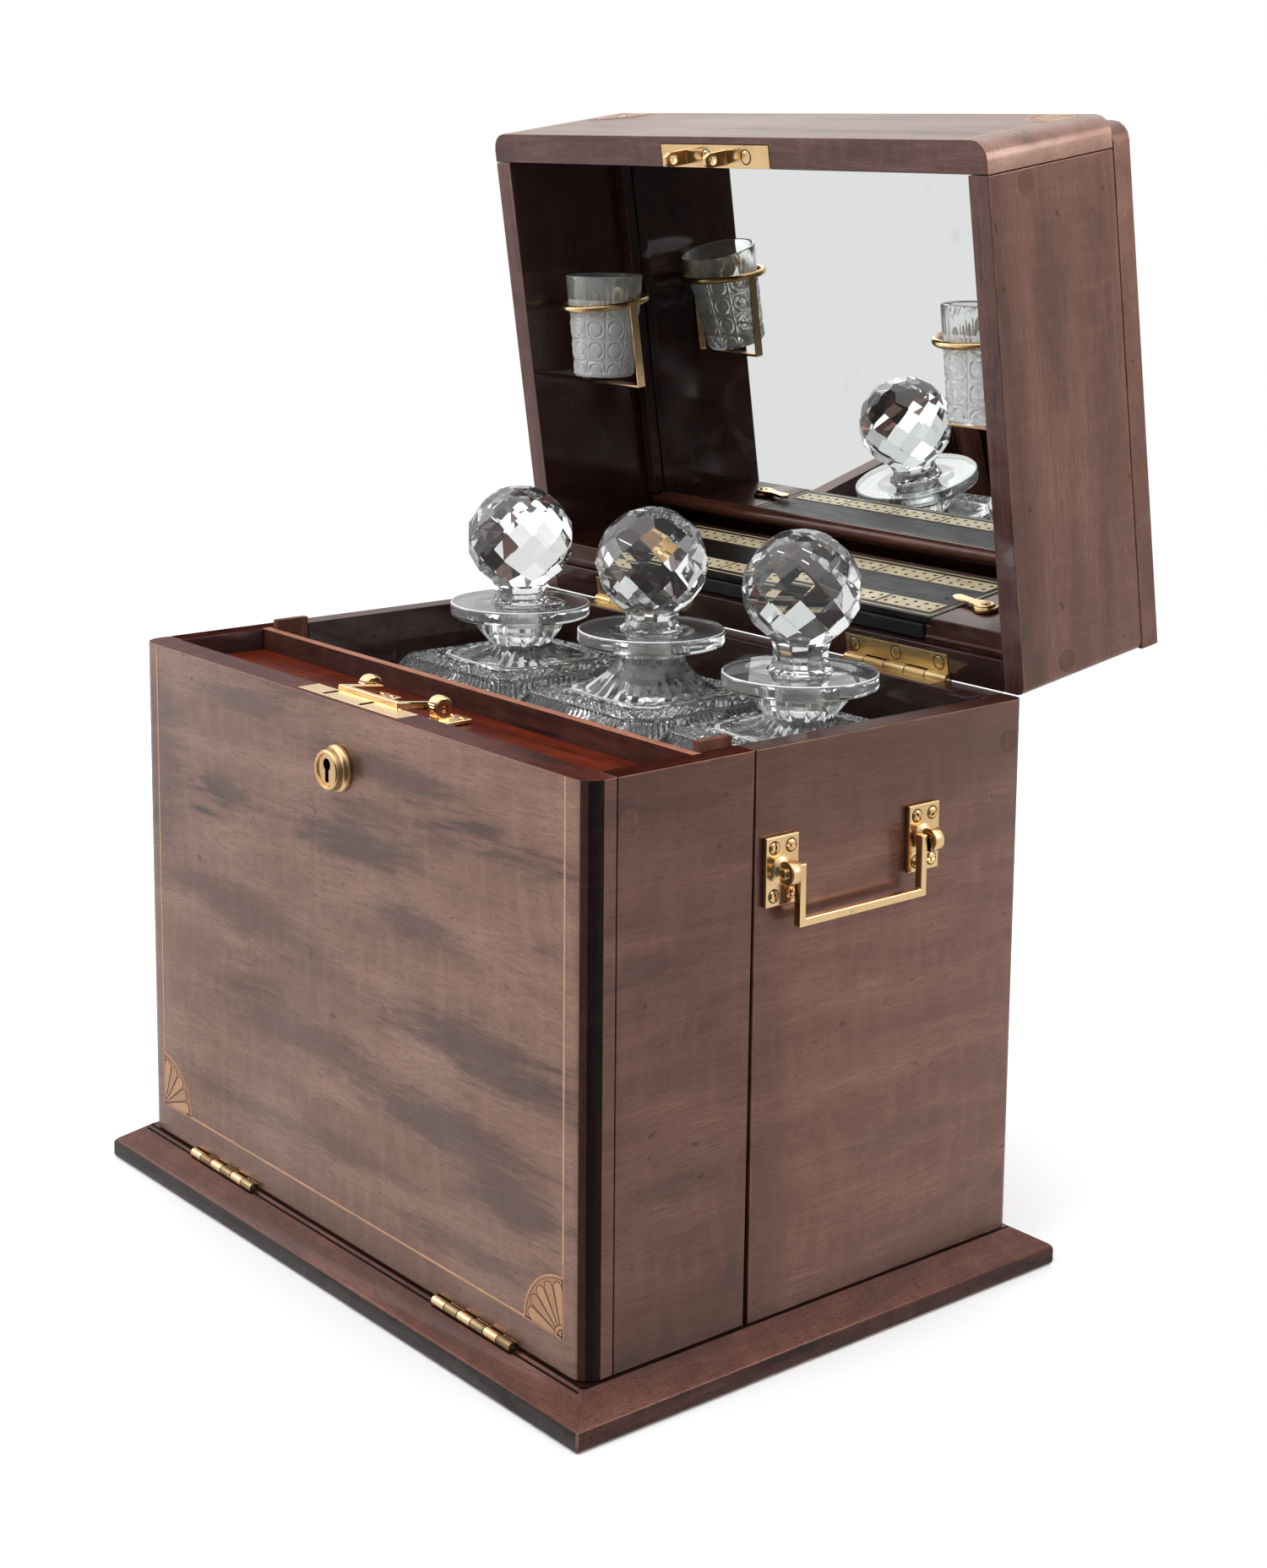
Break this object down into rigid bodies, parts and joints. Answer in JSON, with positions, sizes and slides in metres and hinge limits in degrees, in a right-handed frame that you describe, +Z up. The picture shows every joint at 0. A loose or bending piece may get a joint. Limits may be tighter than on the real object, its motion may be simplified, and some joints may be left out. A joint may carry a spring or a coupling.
{
  "type": "tantalus",
  "caption": "Inlaid mahogany tantalus box with a mirrored lid, fall-front with drawer, lift-out cut-glass decanters, tumblers, games board and side handles.",
  "frame": {"origin": "on the table, under the middle of the plinth", "axes": "+Z up, -Y is the front with the keyhole, +X is the right side; stored with the lid open"},
  "size_m": [0.357, 0.3338, 0.4932],
  "materials": {
    "mahogany": "worn satin polish over figured mahogany",
    "dark_interior": "dark stained, satin",
    "red_mahogany": "glossy red polish",
    "brass": "old polished brass",
    "cut_glass": "clear cut lead glass",
    "mirror_glass": "silvered plate glass",
    "ebonised_wood": "ebonised, satin",
    "black_leathercloth": "fine black grain"
  },
  "bodies": {
    "case": {"base_board": "dark_interior", "plinth": "mahogany", "carcass_left": "mahogany", "carcass_right": "mahogany", "carcass_back": "mahogany", "well_floor": "dark_interior", "decanter_rack": "dark_interior", "handle_plate_right_front": "brass", "handle_plate_right_rear": "brass", "handle_plate_left_front": "brass", "handle_plate_left_rear": "brass", "front_hinge_lower_left": "brass", "front_hinge_lower_right": "brass", "lid_hinge_lower_left": "brass", "lid_hinge_lower_right": "brass"},
    "fall_front": {"front_board": "mahogany", "cheek_left": "mahogany", "cheek_right": "mahogany", "foot_board": "dark_interior", "inner_panel": "dark_interior", "tongue_left": "mahogany", "tongue_right": "mahogany", "box_lock": "brass", "escutcheon": "brass", "front_hinge_upper_left": "brass", "front_hinge_upper_right": "brass"},
    "lock_bolt": {"lock_bolt": "brass"},
    "drawer": {"drawer_front": "red_mahogany", "drawer_tray": "dark_interior", "drawer_plate_left": "brass", "drawer_plate_right": "brass"},
    "drawer_handle": {"drawer_bail": "brass"},
    "right_handle": {"bail_right": "brass"},
    "left_handle": {"bail_left": "brass"},
    "lid": {"lid_front": "mahogany", "lid_left": "mahogany", "lid_right": "mahogany", "lid_back": "mahogany", "lid_top": "mahogany", "mirror": "mirror_glass", "mirror_bead": "dark_interior", "mirror_moulding": "red_mahogany", "strike_plate": "brass", "lid_hinge_upper_left": "brass", "lid_hinge_upper_right": "brass", "tumbler_holder_left": "brass", "tumbler_holder_right": "brass", "games_bearer": "mahogany"},
    "games_board": {"games_board": "ebonised_wood"},
    "slim_case": {"slim_case": "black_leathercloth"},
    "left_latch": {"turn_latch_left": "brass"},
    "right_latch": {"turn_latch_right": "brass"},
    "left_tumbler": {"tumbler_left": "cut_glass"},
    "right_tumbler": {"tumbler_right": "cut_glass"},
    "left_decanter": {"decanter_left": "cut_glass"},
    "middle_decanter": {"decanter_middle": "cut_glass"},
    "right_decanter": {"decanter_right": "cut_glass"},
    "left_stopper": {"stopper_left": "cut_glass"},
    "middle_stopper": {"stopper_middle": "cut_glass"},
    "right_stopper": {"stopper_right": "cut_glass"}
  },
  "joints": [
    {"name": "lid_hinge", "type": "hinge", "parent": "case", "child": "lid", "pos_m": [0, 0.11575, 0.25125], "axis": [-1, 0, 0], "range_deg": [-81.67, 0]},
    {"name": "fall_front_hinge", "type": "hinge", "parent": "case", "child": "fall_front", "pos_m": [0, -0.11945, 0.0171], "axis": [1, 0, 0], "range_deg": [0, 90]},
    {"name": "lock_bolt_slide", "type": "slide", "parent": "fall_front", "child": "lock_bolt", "axis": [-1, 0, 0], "range_m": [0, 0.0045]},
    {"name": "drawer_slide", "type": "slide", "parent": "fall_front", "child": "drawer", "axis": [0, 0, 1], "range_m": [0, 0.17]},
    {"name": "drawer_handle_hinge", "type": "hinge", "parent": "drawer", "child": "drawer_handle", "pos_m": [-0.001, -0.08415, 0.2491], "axis": [-1, 0, 0], "range_deg": [0, 150]},
    {"name": "right_handle_hinge", "type": "hinge", "parent": "case", "child": "right_handle", "pos_m": [0.1716, 0.01645, 0.2018], "axis": [0, -1, 0], "range_deg": [0, 95]},
    {"name": "left_handle_hinge", "type": "hinge", "parent": "case", "child": "left_handle", "pos_m": [-0.1716, 0.01645, 0.2018], "axis": [0, 1, 0], "range_deg": [0, 95]},
    {"name": "games_board_slide", "type": "slide", "parent": "lid", "child": "games_board", "axis": [0, 0.9895, 0.1449], "range_m": [-0.02, 0]},
    {"name": "slim_case_slide", "type": "slide", "parent": "lid", "child": "slim_case", "axis": [0, 0.9895, 0.1449], "range_m": [-0.02, 0]},
    {"name": "right_latch_turn", "type": "hinge", "parent": "lid", "child": "right_latch", "pos_m": [0.1245, 0.13488, 0.28174], "axis": [0, 0.1449, -0.9895], "range_deg": [0, 80]},
    {"name": "left_latch_turn", "type": "hinge", "parent": "lid", "child": "left_latch", "pos_m": [-0.1245, 0.13488, 0.28174], "axis": [0, -0.1449, 0.9895], "range_deg": [0, 80]},
    {"name": "left_tumbler_lift", "type": "slide", "parent": "lid", "child": "left_tumbler", "axis": [0, 0, 1], "range_m": [0, 0.045]},
    {"name": "right_tumbler_lift", "type": "slide", "parent": "lid", "child": "right_tumbler", "axis": [0, 0, 1], "range_m": [0, 0.045]},
    {"name": "left_decanter_lift", "type": "slide", "parent": "case", "child": "left_decanter", "axis": [0, 0, 1], "range_m": [0, 0.2]},
    {"name": "left_stopper_lift", "type": "slide", "parent": "left_decanter", "child": "left_stopper", "axis": [0, 0, 1], "range_m": [0, 0.05]},
    {"name": "middle_decanter_lift", "type": "slide", "parent": "case", "child": "middle_decanter", "axis": [0, 0, 1], "range_m": [0, 0.2]},
    {"name": "middle_stopper_lift", "type": "slide", "parent": "middle_decanter", "child": "middle_stopper", "axis": [0, 0, 1], "range_m": [0, 0.05]},
    {"name": "right_decanter_lift", "type": "slide", "parent": "case", "child": "right_decanter", "axis": [0, 0, 1], "range_m": [0, 0.2]},
    {"name": "right_stopper_lift", "type": "slide", "parent": "right_decanter", "child": "right_stopper", "axis": [0, 0, 1], "range_m": [0, 0.05]}
  ]
}
